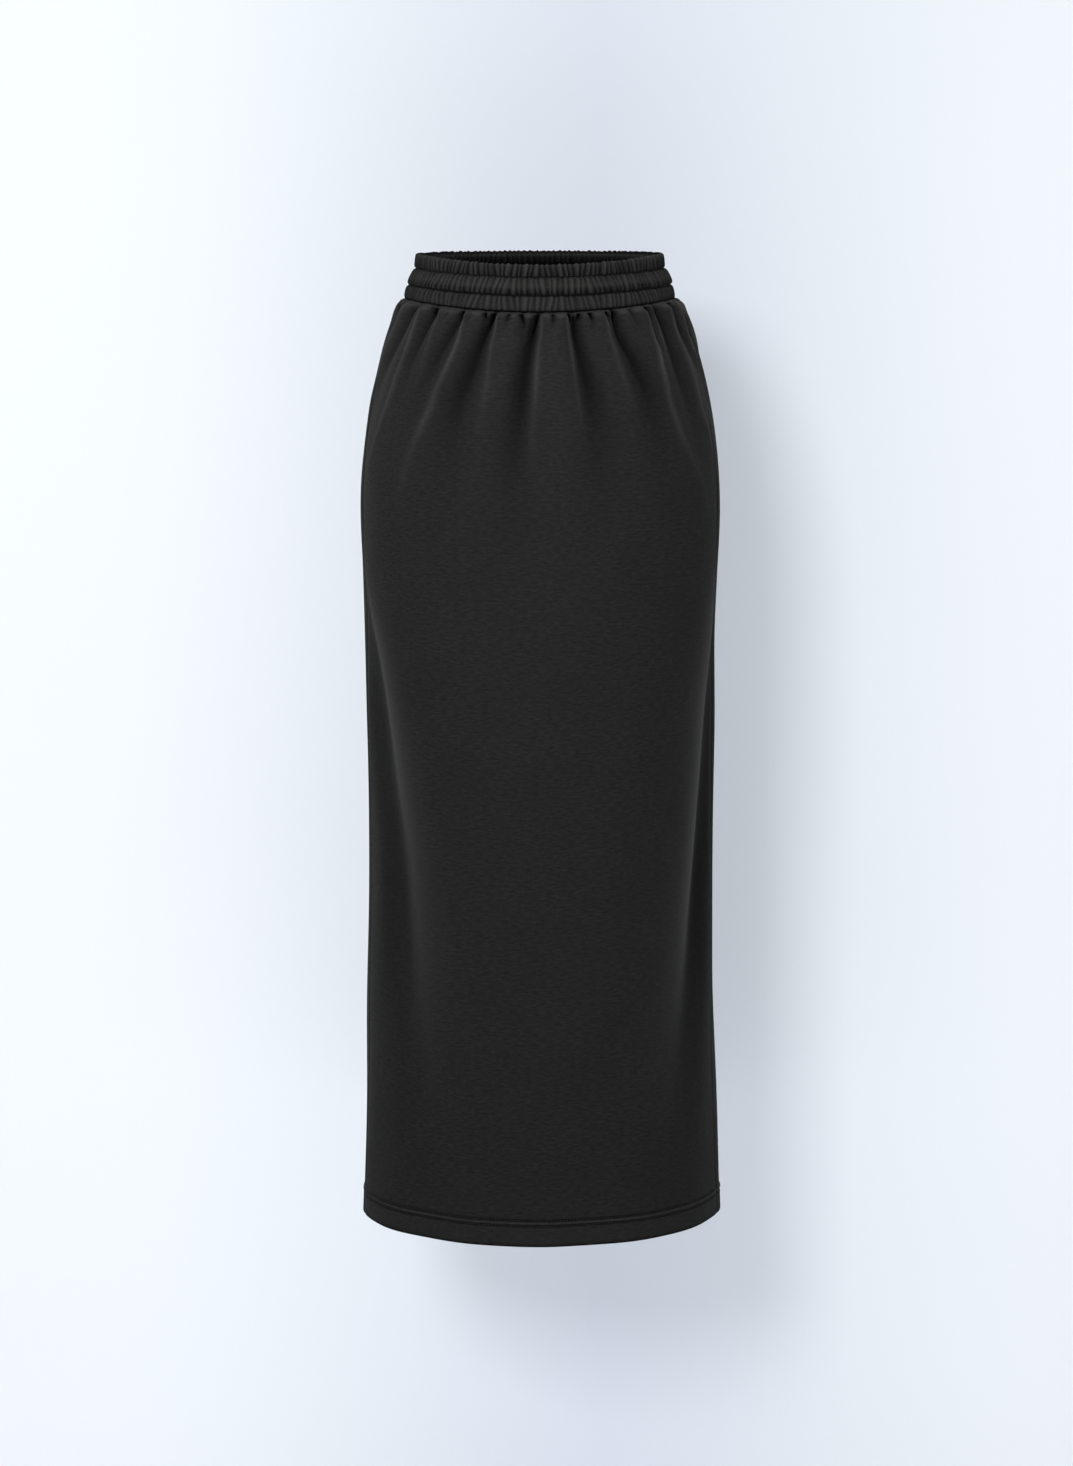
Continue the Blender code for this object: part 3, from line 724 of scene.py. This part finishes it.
def bandRelief(angles, drops, half, firstAngle, lastAngle, inside):
    settings = bandSettings
    draw = np.random.default_rng(settings["seeds"][half])
    count = settings["gathers"][half]
    puffs = settings["insidePuffs" if inside else "puffs"]
    calm = smooth(np.minimum(angles - firstAngle, lastAngle - angles) / settings["calmSides"])
    relief = clothRelief((len(drops), len(angles)))
    drops = drops[:, None]
    if inside:
        # painted shade over the band's inside
        relief.shade(np.interp(drops, settings["insidePaintedShadeAt"], settings["insidePaintedShade"]))
    ribbed = np.zeros_like(relief.lift)
    for row in range(3):
        top, bottom = bandLines[row].drop, bandLines[row + 1].drop
        drawn = drawRibs(draw, count, firstAngle, lastAngle)
        share = (drops - top) / (bottom - top)
        within = np.clip(share, 0, 1)
        inRow = np.ones_like(drops)
        if row > 0:
            inRow = inRow * smooth((drops - top) / settings["rowEdge"] + 0.5)
        if row < 2:
            inRow = inRow * smooth((bottom - drops) / settings["rowEdge"] + 0.5)
        sagged = within ** (1 + (settings["sag"][row] - 1) * np.cos(angles) ** 2)
        rounded = np.sqrt(np.clip(1 - (2 * sagged - 1) ** 2, 0, 1)) ** 0.9
        if row == 0:
            atRim = settings["rimShare"] + (1 - settings["rimShare"]) * rounded
            rounded = np.where(share < 0.5, atRim, rounded)
        pitch = (lastAngle - firstAngle) / count
        wander = ripples(angles, settings["swayWaves"], row)
        sway = settings["sway"] * pitch * wander * np.sin(pi * (within - 0.5))
        slant = settings["slants"][row] * (drops - (top + bottom) / 2) * np.sin(angles)
        ribs, tips = ribProfile(angles - slant - sway, *drawn)
        depth = settings["gatherDepth"][row] * (0.45 + 0.55 * calm) * (0.60 + 0.40 * rounded)
        puffed = puffs[row] * (1 - (1 - settings["sidePuffs"][row]) * np.sin(angles) ** 2)
        relief.lift += inRow * (puffed * rounded + depth * (ribs - 1))
        ribs = np.clip(ribs, 0, 1)
        ribbed += inRow * ribs
        # painted shade between the ribs
        between = np.interp(share, settings["betweenAt"], settings["between"][row])
        lines = inRow * (1 - ribs) * (0.35 + 0.65 * calm) * between
        shading = settings["shade"][row]
        # painted shade under each row, lighter on the rib tips
        paintedUnderShade = 0 if inside else inRow * np.interp(share, column(shading, 0), column(shading, 1))
        paintedUnderShade = paintedUnderShade * (1.30 - 0.50 * ribs)
        relief.shade(1 - (1 - lines) * (1 - paintedUnderShade))
        # painted highlight on the rib tips
        relief.shine(inRow * tips * (0.4 + 0.6 * calm) * (1 - 0.7 * paintedUnderShade))
    for line in bandLines[1:3]:
        sewn = bell(drops - line.drop, settings["lineWidth"])
        relief.lift -= settings["lineSunk"] * sewn
        # painted shade in the sewn line
        relief.shade((line.dark - 0.35 * np.clip(ribbed, 0, 1)) * sewn)
        relief.crest = relief.crest * (1 - sewn)
    seam = bell(drops - bandLines[3].drop, settings["seamWidth"])
    # painted shade along the waist seam
    relief.shade(seam)
    atBack = np.cos(angles) < 0
    rimPaintedShade, rimWidth = settings["rimPaintedShade"]
    highlightDrop, highlightWidth = settings["rimPaintedHighlight"]
    # painted shade along the back's top edge
    rimShadeMask = bell(drops, rimWidth) * atBack
    if inside:
        # painted highlight in a line inside the back's rim
        paintedRimHighlight = bell(drops - highlightDrop, highlightWidth) * atBack
        relief.crest = np.maximum(0.3 * relief.crest * (1 - rimShadeMask), paintedRimHighlight)
        relief.hollow = relief.hollow * (1 - 0.8 * paintedRimHighlight)
    else:
        relief.crest = relief.crest * (1 - seam) * (1 - rimShadeMask)
    relief.shade(rimPaintedShade * rimShadeMask)
    return relief


def bandWall(half, edges):
    settings = bandSettings
    columns = settings["gathers"][half] * settings["columnsEach"] + 1
    angles, across = evenAngles(*edges, settings["evenAt"], columns)
    end = skirtForm["waistSeam"] - skirtForm["seamGap"] / 2
    edge = settings["wall"] / 2  # the rim is half round
    turns = np.linspace(0, pi / 2, 5)
    rimOut = edge * (1 - np.sin(turns[1:]))
    outside = np.concatenate([rimOut[::-1], np.linspace(edge, end, settings["rowsOutside"])])
    inside = np.concatenate([np.linspace(end, edge, settings["rowsInside"]), rimOut[:-1]])
    outInset = np.concatenate([edge * (1 - np.cos(turns[1:]))[::-1], np.zeros(settings["rowsOutside"])])
    inInset = np.concatenate([
        np.full(settings["rowsInside"], settings["wall"]), edge * (1 + np.cos(turns[1:-1]))])
    rimHeight, rimReach = settings["rimBumps"]
    rimRibs = np.minimum(bandRelief(angles, np.array([0.003]), half, *edges, False).crest, 1) - 0.4
    sides = []
    for drops, insets, along, isInside in (
            (outside, outInset, outside, False), (inside, inInset, 2 * end - inside, True)):
        relief = bandRelief(angles, drops, half, *edges, isInside)
        offset = relief.lift * (-1 if isInside else 1) - insets[:, None]
        halfWidth, frontDepth, backDepth, dip = (
            readTable(bandLines, number, drops)[:, None] for number in (1, 2, 3, 4))
        depth = np.where(np.cos(angles) > 0, frontDepth, backDepth)
        points = placeRows(angles, drops[:, None], halfWidth, depth, offset, dip)
        points[..., 2] += rimHeight * bell(drops, rimReach)[:, None] * rimRibs
        sides.append(clothRows(points, relief, across, -along))
    return sides


def fillInputs(tree, node, inputs):  # each input is a value or another node's output
    for socket, value in inputs.items():
        if isinstance(value, bpy.types.NodeSocket):
            tree.links.new(value, node.inputs[socket])
        else:
            node.inputs[socket].default_value = value


def addNode(tree, kind, output, inputs, **options):
    node = tree.nodes.new("ShaderNode" + kind)
    for option, value in options.items():
        setattr(node, option, value)
    fillInputs(tree, node, inputs)
    return node.outputs[output]


def addMaths(tree, operation, *values):
    return addNode(tree, "Math", 0, dict(enumerate(values)), operation=operation)


def addMix(tree, factor, first, second):
    return addNode(tree, "Mix", "Result", {"Factor": factor, "A": first, "B": second}, data_type="RGBA")


def opaque(colour, share=1.0):
    return (*[share * value for value in colour], 1)


def newMaterial(name):
    material = bpy.data.materials.new(name)
    material.use_nodes = True
    return material, material.node_tree, material.node_tree.nodes["Principled BSDF"]


def knitGroup():  # streaks, mottling and the stitches of a plain knit, from the cloth's own coordinates
    group = bpy.data.node_groups.new("plain knit", "ShaderNodeTree")

    def addSocket(name, way):
        return group.interface.new_socket(name=name, in_out=way, socket_type="NodeSocketFloat")

    for name, value in (("Streak Length", 70.0), ("Streak Height", 900.0),
                        ("Stitches Per Metre", 900.0), ("Fuzz Scale", 2600.0)):
        addSocket(name, "INPUT").default_value = value
    for name in ("Streaks", "Mottle", "Height"):
        addSocket(name, "OUTPUT")
    given, out = group.nodes.new("NodeGroupInput"), group.nodes.new("NodeGroupOutput")
    place = addNode(group, "UVMap", "UV", {}, uv_map="cloth")

    def scaled(acrossName, alongName):
        scale = {"X": given.outputs[acrossName], "Y": given.outputs[alongName]}
        scale = addNode(group, "CombineXYZ", "Vector", scale)
        return addNode(group, "VectorMath", "Vector", {0: place, 1: scale}, operation="MULTIPLY")

    def noise(vector, scale, detail, roughness):
        inputs = {"Vector": vector, "Scale": scale, "Detail": detail, "Roughness": roughness}
        return addNode(group, "TexNoise", "Fac", inputs)

    def maths(operation, *values):
        return addMaths(group, operation, *values)

    streaks = noise(scaled("Streak Length", "Streak Height"), 1.0, 3.0, 0.6)
    mottle = noise(place, 22.0, 4.0, 0.55)
    fuzz = noise(scaled("Fuzz Scale", "Fuzz Scale"), 1.0, 2.0, 0.6)
    stitch = group.nodes.new("ShaderNodeSeparateXYZ")
    fillInputs(group, stitch, {0: scaled("Stitches Per Metre", "Stitches Per Metre")})
    wale = maths("ABSOLUTE", maths("SINE", maths("MULTIPLY", stitch.outputs["X"], pi)))
    lean = maths("MULTIPLY_ADD", wale, 0.45, stitch.outputs["Y"])  # each loop is a slanted pair of legs
    course = maths("ABSOLUTE", maths("SINE", maths("MULTIPLY", lean, pi * 1.25)))
    height = maths("MULTIPLY_ADD", maths("MULTIPLY", wale, course), 0.35, maths("MULTIPLY", fuzz, 0.45))
    height = maths("MULTIPLY_ADD", streaks, 0.9, height)
    fillInputs(group, out, {"Streaks": streaks, "Mottle": mottle, "Height": height})
    return group


def knitMaterial(name, group, settings):
    material, tree, shader = newMaterial(name)
    knit = tree.nodes.new("ShaderNodeGroup")
    knit.node_tree = group
    fillInputs(tree, knit, settings["knit"])
    streaks, mottle = knit.outputs["Streaks"], knit.outputs["Mottle"]

    def ranged(value, fromLow, fromHigh, toLow, toHigh):
        return addNode(tree, "MapRange", "Result", {
            "Value": value, "From Min": fromLow, "From Max": fromHigh, "To Min": toLow, "To Max": toHigh})

    def masked(label, share):
        return ranged(addNode(tree, "Attribute", "Fac", {}, attribute_name=label), 0, 1, 0, share)

    dark, light, hollow, crest = (opaque(settings[key]) for key in ("dark", "light", "hollow", "crest"))
    colour = addMix(tree, ranged(streaks, 0.33, 0.67, 0, 1), dark, light)
    colour = addMix(tree, ranged(mottle, 0.35, 0.75, 0, settings["mottle"]), colour, dark)
    # painted shade, then painted highlight, laid over the knit's own tones
    colour = addMix(tree, masked("hollow", settings["paintedShadeShare"]), colour, hollow)
    colour = addMix(tree, masked("crest", settings["paintedHighlightShare"]), colour, crest)
    rough, spread = settings["roughness"]
    bump = {"Strength": settings["bump"], "Distance": 0.0006, "Height": knit.outputs["Height"]}
    fillInputs(tree, shader, {
        "Base Color": colour,
        "Roughness": ranged(streaks, 0.3, 0.7, rough + spread, rough - spread),
        "Normal": addNode(tree, "Bump", "Normal", bump),
        "Specular IOR Level": settings["specular"],
        "Sheen Weight": settings["sheen"],
        "Sheen Roughness": settings["sheenRoughness"],
    })
    return material


def threadMaterial(name, colour):
    material, tree, shader = newMaterial(name)
    place = addNode(tree, "TexCoord", "Object", {})
    twist = addNode(tree, "TexNoise", "Fac", {"Vector": place, "Scale": 2400.0})
    fillInputs(tree, shader, {
        "Base Color": addMix(tree, twist, opaque(colour, 0.75), opaque(colour, 1.3)),
        "Normal": addNode(tree, "Bump", "Normal", {"Strength": 0.4, "Distance": 0.0001, "Height": twist}),
        "Roughness": 0.55,
    })
    return material


stitchSettings = {
    "pitch": 0.0031,
    "share": 0.74,  # of the pitch that the thread lies on top
    "radius": 0.00022,
    "thinEnds": 0.45,  # radius at a stitch's ends, as a share
    "sides": 6,
    "rings": 5,
    "above": 0.00012,
    "hemSteps": 900,
    "hemMargin": 0.006,  # radians left free at a side seam
    "bandSteps": 1400,
    "bandMargin": 0.008,
}


def makeStitches(name, lines, material):  # each line is a row of points and the way out from the cloth
    settings = stitchSettings
    rings, sides = settings["rings"], settings["sides"]
    turns = np.linspace(0, 2 * pi, sides, endpoint=False)[None, :, None]
    arch = np.sin(np.linspace(0.12, pi - 0.12, rings))
    thick = settings["radius"] * (settings["thinEnds"] + (1 - settings["thinEnds"]) * arch)
    rise = (arch - 0.7) * settings["radius"] * 1.6 + settings["above"]
    points, faces = [], []
    for line, outward in lines:
        length = np.concatenate([[0], np.cumsum(np.linalg.norm(np.diff(line, axis=0), axis=1))])
        count = int(length[-1] / settings["pitch"])
        for number in range(count):
            start = (number + 0.13) * length[-1] / count
            along = start + np.linspace(0, 1, rings) * settings["share"] * length[-1] / count
            centre = np.stack([np.interp(along, length, line[:, axis]) for axis in range(3)], -1)
            out = np.stack([np.interp(along, length, outward[:, axis]) for axis in range(3)], -1)
            centre = centre + out * rise[:, None]
            ahead = np.gradient(centre, axis=0)
            ahead /= np.linalg.norm(ahead, axis=1)[:, None]
            side = np.cross(ahead, out)
            side /= np.linalg.norm(side, axis=1)[:, None]
            up = np.cross(side, ahead)
            base = len(points)
            ring = np.cos(turns) * side[:, None] + np.sin(turns) * up[:, None]
            points.extend((centre[:, None] + thick[:, None, None] * ring).reshape(-1, 3).tolist())
            for step in range(rings - 1):
                for turn in range(sides):
                    a, b = base + step * sides + turn, base + step * sides + (turn + 1) % sides
                    faces.append((a, b, b + sides, a + sides))
            last = base + (rings - 1) * sides
            faces.append(tuple(range(base, base + sides))[::-1])
            faces.append(tuple(range(last, last + sides)))
    return addPiece(name, points, faces, material)


def outwardAt(angles, halfWidth, depth):
    normal = np.stack([depth * np.sin(angles), -halfWidth * np.cos(angles), np.zeros_like(angles)], -1)
    return normal / np.linalg.norm(normal, axis=1)[:, None]


def lineOnPanel(up, firstAngle, lastAngle, creases):
    drop = np.array([skirtForm["drop"] - up])
    margin, steps, hemSection = stitchSettings["hemMargin"], stitchSettings["hemSteps"], panelSections[-2][1:]
    angles, _ = evenAngles(firstAngle + margin, lastAngle - margin, hemSection, steps)
    halfWidth, depth, relief = panelRelief(angles, drop, creases, firstAngle, lastAngle)
    line = placeRows(angles, drop[:, None], halfWidth, depth, relief.lift, panelDip(drop)[:, None])[0]
    return line, outwardAt(angles, halfWidth[0], depth[0])


def lineOnBand(number, half, firstAngle, lastAngle):
    drop, halfWidth, frontDepth, backDepth, dip, _ = bandLines[number]
    margin, steps = stitchSettings["bandMargin"], stitchSettings["bandSteps"]
    angles, _ = evenAngles(firstAngle + margin, lastAngle - margin, bandSettings["evenAt"], steps)
    relief = bandRelief(angles, np.array([drop]), half, firstAngle, lastAngle, False)
    depth = np.where(np.cos(angles) > 0, frontDepth, backDepth)[None]
    line = placeRows(angles, drop, halfWidth, depth, relief.lift, dip)[0]
    return line, outwardAt(angles, halfWidth, depth[0])


def triangleCount(pieces):
    return [sum(len(face.vertices) - 2 for face in piece.data.polygons) for piece in pieces]


knit = knitGroup()
plainKnit = {
    "light": (0.0222, 0.0219, 0.0215),
    "mottle": 0.30,
    "paintedShadeShare": 1.0,  # how much of the painted shade colour and the painted highlight colour the masks lay on
    "roughness": (0.92, 0.04),  # with how far the streaks change it
    "specular": 0.0,
}
bodyKnit = knitMaterial("body knit", knit, plainKnit | {
    "knit": {
        "Streak Length": 150.0, "Streak Height": 460.0, "Stitches Per Metre": 900.0, "Fuzz Scale": 2600.0},
    "dark": (0.0144, 0.0142, 0.0139),
    # painted shade colour, near black, for gathers, notches, grooves and seams
    "hollow": (0.0006, 0.0006, 0.0006),
    # painted highlight colour for ridges, fold crests, puffed edges and the hem
    "crest": (0.0800, 0.0792, 0.0780),
    "paintedHighlightShare": 1.0,
    "bump": 0.60,
    "sheen": 0.060,
    "sheenRoughness": 0.36,
})
bandKnit = knitMaterial("band knit", knit, plainKnit | {
    "knit": {
        "Streak Length": 160.0, "Streak Height": 700.0, "Stitches Per Metre": 1000.0, "Fuzz Scale": 2600.0},
    "dark": (0.0155, 0.0153, 0.0150),
    # painted shade colour for the band's sewn lines, seam, rows and inside
    "hollow": (0.0012, 0.0012, 0.0012),
    # painted highlight colour for the rib tips and the line inside the back rim
    "crest": (0.0480, 0.0475, 0.0468),
    "paintedHighlightShare": 0.32,
    "bump": 0.45,
    "sheen": 0.020,
    "sheenRoughness": 0.30,
})
sewingThread = threadMaterial("sewing thread", (0.016, 0.016, 0.017))
print("materials made")

gapAngle = skirtForm["seamGap"] / 2 / bandLines[0].frontDepth
frontEdges = (-skirtForm["sideSeam"] + gapAngle, skirtForm["sideSeam"] - gapAngle)
backEdges = (skirtForm["sideSeam"] + gapAngle, 2 * pi - skirtForm["sideSeam"] - gapAngle)
backLines, backRidges = backCreases()
creases = (frontGathers + backLines, frontRidges + backRidges)

frontPanel = makeWall("frontPanel", *panelWall(frontEdges, creases), bodyKnit)
backPanel = makeWall("backPanel", *panelWall(backEdges, creases), bodyKnit)
print("panels made:", triangleCount((frontPanel, backPanel)))
waistbandFront = makeWall("waistbandFront", *bandWall("front", frontEdges), bandKnit)
waistbandBack = makeWall("waistbandBack", *bandWall("back", backEdges), bandKnit)
print("waistband made:", triangleCount((waistbandFront, waistbandBack)))

hemStitches = makeStitches("hemStitches", [
    lineOnPanel(up, *edges, creases)
    for up in hemSettings["stitchLines"] for edges in (frontEdges, backEdges)
], sewingThread)
bandStitches = makeStitches("bandStitches", [
    lineOnBand(number, half, *edges)
    for number in (1, 2) for half, edges in (("front", frontEdges), ("back", backEdges))
], sewingThread)
print("stitches made:", triangleCount((hemStitches, bandStitches)))

for piece, node, slot in ((frontPanel, "front_panel", "body_knit"), (backPanel, "back_panel", "body_knit"),
                          (waistbandFront, "waistband_front", "band_knit"),
                          (waistbandBack, "waistband_back", "band_knit")):
    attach(piece, "root")
    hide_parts(node)
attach(hemStitches, "root")
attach(bandStitches, "root")

cameraSettings = {
    "lens": 85.17,
    "sensor": 36,
    "place": (-0.0036, -3.2, 0.120),
    "down": radians(9.661),
    "roll": radians(-0.088),
}
camera = bpy.data.objects.new("camera", bpy.data.cameras.new("camera"))
bpy.context.scene.collection.objects.link(camera)
camera.data.lens, camera.data.sensor_width = cameraSettings["lens"], cameraSettings["sensor"]
camera.location = cameraSettings["place"]
look = Matrix.Rotation(radians(90) - cameraSettings["down"], 4, "X")
camera.rotation_euler = (look @ Matrix.Rotation(cameraSettings["roll"], 4, "Z")).to_euler()
bpy.context.scene.camera = camera
bpy.context.scene.view_settings.view_transform = "Standard"

studio = {
    "wallBehind": 0.26,  # metres behind the skirt's middle
    "wallTop": 4.0,
    "halfWidth": 6.0,
    "bend": 0.35,  # radius between wall and floor
    "floorBelow": -1.50,
    "floorFront": -7.0,
    # painted shade: the wall's colour is darker behind the skirt and to its right
    "wallPaintedShade": (0.70, 0.75, 0.83),
    "wallEdge": (0.88, 0.91, 0.94),
    "paintedShadeFade": (-0.05, 0.57),  # metres from the middle of the painted shade to the paler edges
    "paintedShadeMiddle": 0.06,  # how far right the painted shade's middle lies, towards the skirt's shadow
    "wallClouds": (2.2, 0.10),  # scale and strength of the unevenness in the painted shade
    "sky": (0.95, 0.97, 1.0),
    "skyStrength": 0.18,
}
studioLights = (  # name, lights the cloth, lights the wall, place, aims at, size, watts
    ("key", False, True, (-1.2, -3.6, 1.45), (0, 0, -0.40), 1.1, 63),
    ("wallWash", False, True, (0.0, -3.4, 0.2), (0, 0.3, -0.40), 0.6, 61),
    ("clothKey", True, False, (-0.30, -1.05, 1.15), (0, 0, -0.25), 0.7, 33),
    ("clothFront", True, False, (0.5, -3.1, 0.3), (0, 0, -0.45), 1.4, 28),
    ("backLeft", True, False, (-0.5, 2.6, 1.2), (0, 0, -0.4), 1.0, 36),
    ("backRight", True, False, (0.5, 2.6, 1.2), (0, 0, -0.4), 1.0, 34),
)


def wallMaterial():  # pale plaster with painted shade, darker behind the skirt and to its right, that lets light and the camera through from behind
    material, tree, shader = newMaterial("studio wall")
    tree.nodes.remove(shader)
    scale, strength = studio["wallClouds"]
    place = addNode(tree, "TexCoord", "Object", {})
    clouds = addNode(tree, "TexNoise", "Fac", {"Vector": place, "Scale": scale})
    right = addNode(tree, "SeparateXYZ", "X", {0: place})
    aside = addMaths(tree, "ABSOLUTE", addMaths(tree, "SUBTRACT", right, studio["paintedShadeMiddle"]))
    cloudy = addMaths(tree, "MULTIPLY_ADD", clouds, strength, aside)
    start, end = studio["paintedShadeFade"]
    fade = addNode(tree, "MapRange", "Result", {"Value": cloudy, "From Min": start, "From Max": end},
                   interpolation_type="SMOOTHSTEP")
    # painted shade on the wall
    paintedShadeTint = addMix(tree, fade, opaque(studio["wallPaintedShade"]), opaque(studio["wallEdge"]))
    behind = addNode(tree, "NewGeometry", "Backfacing", {})
    shadow = addNode(tree, "LightPath", "Is Shadow Ray", {})
    either = addMaths(tree, "MAXIMUM", behind, shadow)
    plaster = addNode(tree, "BsdfDiffuse", "BSDF", {"Color": paintedShadeTint})
    clear = addNode(tree, "BsdfTransparent", "BSDF", {})
    blend = addNode(tree, "MixShader", "Shader", {"Fac": either, 1: plaster, 2: clear})
    fillInputs(tree, tree.nodes["Material Output"], {"Surface": blend})
    return material


def makeStudio(pieces):
    bend, floor = studio["bend"], studio["floorBelow"]
    profile = [(studio["wallBehind"], studio["wallTop"])]
    for turn in np.linspace(0, pi / 2, 9):
        profile.append((studio["wallBehind"] - bend * (1 - cos(turn)), floor + bend * (1 - sin(turn))))
    profile.append((studio["floorFront"], floor))
    points = [(x, y, z) for y, z in profile for x in (-studio["halfWidth"], studio["halfWidth"])]
    faces = [(2 * step, 2 * step + 2, 2 * step + 3, 2 * step + 1) for step in range(len(profile) - 1)]
    sweep = addPiece("studioSweep", points, faces, wallMaterial())

    world = bpy.data.worlds.new("studio")
    bpy.context.scene.world = world
    world.use_nodes = True
    sky = {"Color": opaque(studio["sky"]), "Strength": studio["skyStrength"]}
    fillInputs(world.node_tree, world.node_tree.nodes["Background"], sky)
    clothOnly, wallOnly = (bpy.data.collections.new(name) for name in ("lit cloth", "lit wall"))
    wallOnly.objects.link(sweep)
    for piece in pieces:
        clothOnly.objects.link(piece)
    for name, onCloth, onWall, place, aim, size, watts in studioLights:
        lamp = bpy.data.lights.new(name, "AREA")
        lamp.size, lamp.energy = size, watts
        light = bpy.data.objects.new(name, lamp)
        light.location = place
        light.rotation_euler = (Vector(aim) - Vector(place)).to_track_quat("-Z", "Y").to_euler()
        bpy.context.scene.collection.objects.link(light)
        if not onWall:
            light.light_linking.receiver_collection = clothOnly
        if not onCloth:
            light.light_linking.receiver_collection = wallOnly
        if name == "wallWash":
            light.light_linking.blocker_collection = wallOnly


makeStudio((frontPanel, backPanel, waistbandFront, waistbandBack, hemStitches, bandStitches))
print("studio made")
